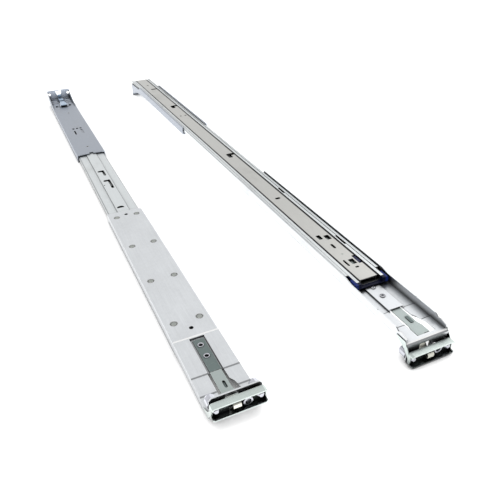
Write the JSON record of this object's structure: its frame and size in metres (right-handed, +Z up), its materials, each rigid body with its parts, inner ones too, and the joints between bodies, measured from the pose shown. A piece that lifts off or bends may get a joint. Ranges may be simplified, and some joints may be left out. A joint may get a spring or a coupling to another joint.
{
  "type": "sliding server rail pair",
  "caption": "Pair of mirrored ball-bearing slides that carry a one-unit server in a rack, with sprung hooks at the front, a telescoping rear bracket and keyed inner members.",
  "frame": {"origin": "centre of the footprint of the two slides on the floor", "axes": "+X across from the left slide to the right one, +Y along the slides from the front ends to the rear, +Z up"},
  "size_m": [0.1896, 0.8154, 0.0261],
  "materials": {
    "zinc_sheet": "satin zinc-plated sheet",
    "rear_zinc": "blue-grey zinc-plated sheet",
    "slide_steel": "zinc-plated roll-formed steel",
    "inner_steel": "zinc-plated roll-formed steel",
    "cap_nickel": "zinc-plated pressing",
    "bright_steel": "bright turned steel",
    "rivet_steel": "tarnished steel",
    "spring_steel": "dark grey-green coated spring steel",
    "tongue_steel": "grey zinc-plated spring steel",
    "latch_steel": "blue-white zinc plating",
    "hook_steel": "pale zinc plating",
    "cage_steel": "plain steel strip",
    "ball_steel": "polished",
    "navy_plastic": "moulded",
    "blue_plastic": "moulded"
  },
  "bodies": {
    "left_slide_base": {"left_front_bracket": "zinc_sheet", "left_bracket_rivets": "rivet_steel", "left_front_cap": "cap_nickel", "left_pin_housings": "bright_steel", "left_screw_bushing": "bright_steel", "left_latch_spring": "spring_steel", "left_latch_rivets": "rivet_steel", "left_cabinet_member": "slide_steel"},
    "left_pin_a": {"left_locating_pin_a": "bright_steel"},
    "left_pin_b": {"left_locating_pin_b": "bright_steel"},
    "left_front_latch": {"left_latch_tongue": "tongue_steel", "left_latch_hook": "hook_steel"},
    "left_outer_ball_cage": {"left_outer_cage": "cage_steel", "left_outer_balls": "ball_steel"},
    "left_middle": {"left_middle_member": "slide_steel", "left_end_guide": "navy_plastic"},
    "left_inner_ball_cage": {"left_inner_cage": "cage_steel", "left_inner_balls": "ball_steel"},
    "left_inner": {"left_inner_member": "inner_steel", "left_release_pivot": "rivet_steel"},
    "left_release": {"left_release_lever": "tongue_steel", "left_release_tab": "blue_plastic"},
    "left_rear_sleeve": {"left_rear_bracket": "rear_zinc", "left_guide_studs": "rivet_steel", "left_rear_latch_pin": "rivet_steel"},
    "left_rear_catch": {"left_rear_latch": "latch_steel"},
    "right_slide_base": {"right_front_bracket": "zinc_sheet", "right_bracket_rivets": "rivet_steel", "right_front_cap": "cap_nickel", "right_pin_housings": "bright_steel", "right_screw_bushing": "bright_steel", "right_latch_spring": "spring_steel", "right_latch_rivets": "rivet_steel", "right_cabinet_member": "slide_steel"},
    "right_pin_a": {"right_locating_pin_a": "bright_steel"},
    "right_pin_b": {"right_locating_pin_b": "bright_steel"},
    "right_front_latch": {"right_latch_tongue": "tongue_steel", "right_latch_hook": "hook_steel"},
    "right_outer_ball_cage": {"right_outer_cage": "cage_steel", "right_outer_balls": "ball_steel"},
    "right_middle": {"right_middle_member": "slide_steel", "right_end_guide": "navy_plastic"},
    "right_inner_ball_cage": {"right_inner_cage": "cage_steel", "right_inner_balls": "ball_steel"},
    "right_inner": {"right_inner_member": "inner_steel", "right_release_pivot": "rivet_steel"},
    "right_release": {"right_release_lever": "tongue_steel", "right_release_tab": "blue_plastic"},
    "right_rear_sleeve": {"right_rear_bracket": "rear_zinc", "right_guide_studs": "rivet_steel", "right_rear_latch_pin": "rivet_steel"},
    "right_rear_catch": {"right_rear_latch": "latch_steel"}
  },
  "joints": [
    {"name": "left_middle_slide", "type": "slide", "parent": "left_slide_base", "child": "left_middle", "axis": [0, -1, 0], "range_m": [0, 0.35]},
    {"name": "left_outer_cage_slide", "type": "slide", "parent": "left_slide_base", "child": "left_outer_ball_cage", "axis": [0, -1, 0], "range_m": [0, 0.175]},
    {"name": "left_inner_slide", "type": "slide", "parent": "left_middle", "child": "left_inner", "axis": [0, -1, 0], "range_m": [0, 0.35]},
    {"name": "left_inner_cage_slide", "type": "slide", "parent": "left_middle", "child": "left_inner_ball_cage", "axis": [0, -1, 0], "range_m": [0, 0.175]},
    {"name": "left_release_hinge", "type": "hinge", "parent": "left_inner", "child": "left_release", "pos_m": [-0.0743, -0.2743, 0.0039], "axis": [0, 0, 1], "range_deg": [0, 3], "stiffness_Nm_per_rad": 0.02},
    {"name": "left_rear_sleeve_slide", "type": "slide", "parent": "left_slide_base", "child": "left_rear_sleeve", "axis": [0, 1, 0], "range_m": [0, 0.09]},
    {"name": "left_rear_latch_hinge", "type": "hinge", "parent": "left_rear_sleeve", "child": "left_rear_catch", "pos_m": [-0.075, 0.3537, 0.013], "axis": [1, 0, 0], "range_deg": [0, 20], "stiffness_Nm_per_rad": 0.1},
    {"name": "left_front_latch_hinge", "type": "hinge", "parent": "left_slide_base", "child": "left_front_latch", "pos_m": [-0.075, -0.3523, 0.0088], "axis": [1, 0, 0], "range_deg": [0, 3.2], "stiffness_Nm_per_rad": 0.5},
    {"name": "left_pin_a_slide", "type": "slide", "parent": "left_slide_base", "child": "left_pin_a", "axis": [0, 1, 0], "range_m": [0, 0.006], "stiffness_N_per_m": 400},
    {"name": "left_pin_b_slide", "type": "slide", "parent": "left_slide_base", "child": "left_pin_b", "axis": [0, 1, 0], "range_m": [0, 0.006], "stiffness_N_per_m": 400},
    {"name": "right_middle_slide", "type": "slide", "parent": "right_slide_base", "child": "right_middle", "axis": [0, -1, 0], "range_m": [0, 0.35]},
    {"name": "right_outer_cage_slide", "type": "slide", "parent": "right_slide_base", "child": "right_outer_ball_cage", "axis": [0, -1, 0], "range_m": [0, 0.175]},
    {"name": "right_inner_slide", "type": "slide", "parent": "right_middle", "child": "right_inner", "axis": [0, -1, 0], "range_m": [0, 0.35]},
    {"name": "right_inner_cage_slide", "type": "slide", "parent": "right_middle", "child": "right_inner_ball_cage", "axis": [0, -1, 0], "range_m": [0, 0.175]},
    {"name": "right_release_hinge", "type": "hinge", "parent": "right_inner", "child": "right_release", "pos_m": [0.0757, -0.2837, 0.0222], "axis": [0, 0, 1], "range_deg": [0, 3], "stiffness_Nm_per_rad": 0.02},
    {"name": "right_rear_sleeve_slide", "type": "slide", "parent": "right_slide_base", "child": "right_rear_sleeve", "axis": [0, 1, 0], "range_m": [0, 0.09]},
    {"name": "right_rear_latch_hinge", "type": "hinge", "parent": "right_rear_sleeve", "child": "right_rear_catch", "pos_m": [0.075, 0.3443, 0.0131], "axis": [-1, 0, 0], "range_deg": [0, 20], "stiffness_Nm_per_rad": 0.1},
    {"name": "right_front_latch_hinge", "type": "hinge", "parent": "right_slide_base", "child": "right_front_latch", "pos_m": [0.075, -0.3617, 0.0173], "axis": [-1, 0, 0], "range_deg": [0, 3.2], "stiffness_Nm_per_rad": 0.5},
    {"name": "right_pin_a_slide", "type": "slide", "parent": "right_slide_base", "child": "right_pin_a", "axis": [0, 1, 0], "range_m": [0, 0.006], "stiffness_N_per_m": 400},
    {"name": "right_pin_b_slide", "type": "slide", "parent": "right_slide_base", "child": "right_pin_b", "axis": [0, 1, 0], "range_m": [0, 0.006], "stiffness_N_per_m": 400},
    {"name": "right_lift", "type": "slide", "parent": "left_slide_base", "child": "right_slide_base", "axis": [0, 0, 1], "range_m": [0, 0.15]}
  ],
  "couplings": [
    {"joint": "left_outer_cage_slide", "follows": "left_middle_slide", "ratio": 0.5},
    {"joint": "left_inner_cage_slide", "follows": "left_inner_slide", "ratio": 0.5},
    {"joint": "right_outer_cage_slide", "follows": "right_middle_slide", "ratio": 0.5},
    {"joint": "right_inner_cage_slide", "follows": "right_inner_slide", "ratio": 0.5}
  ]
}
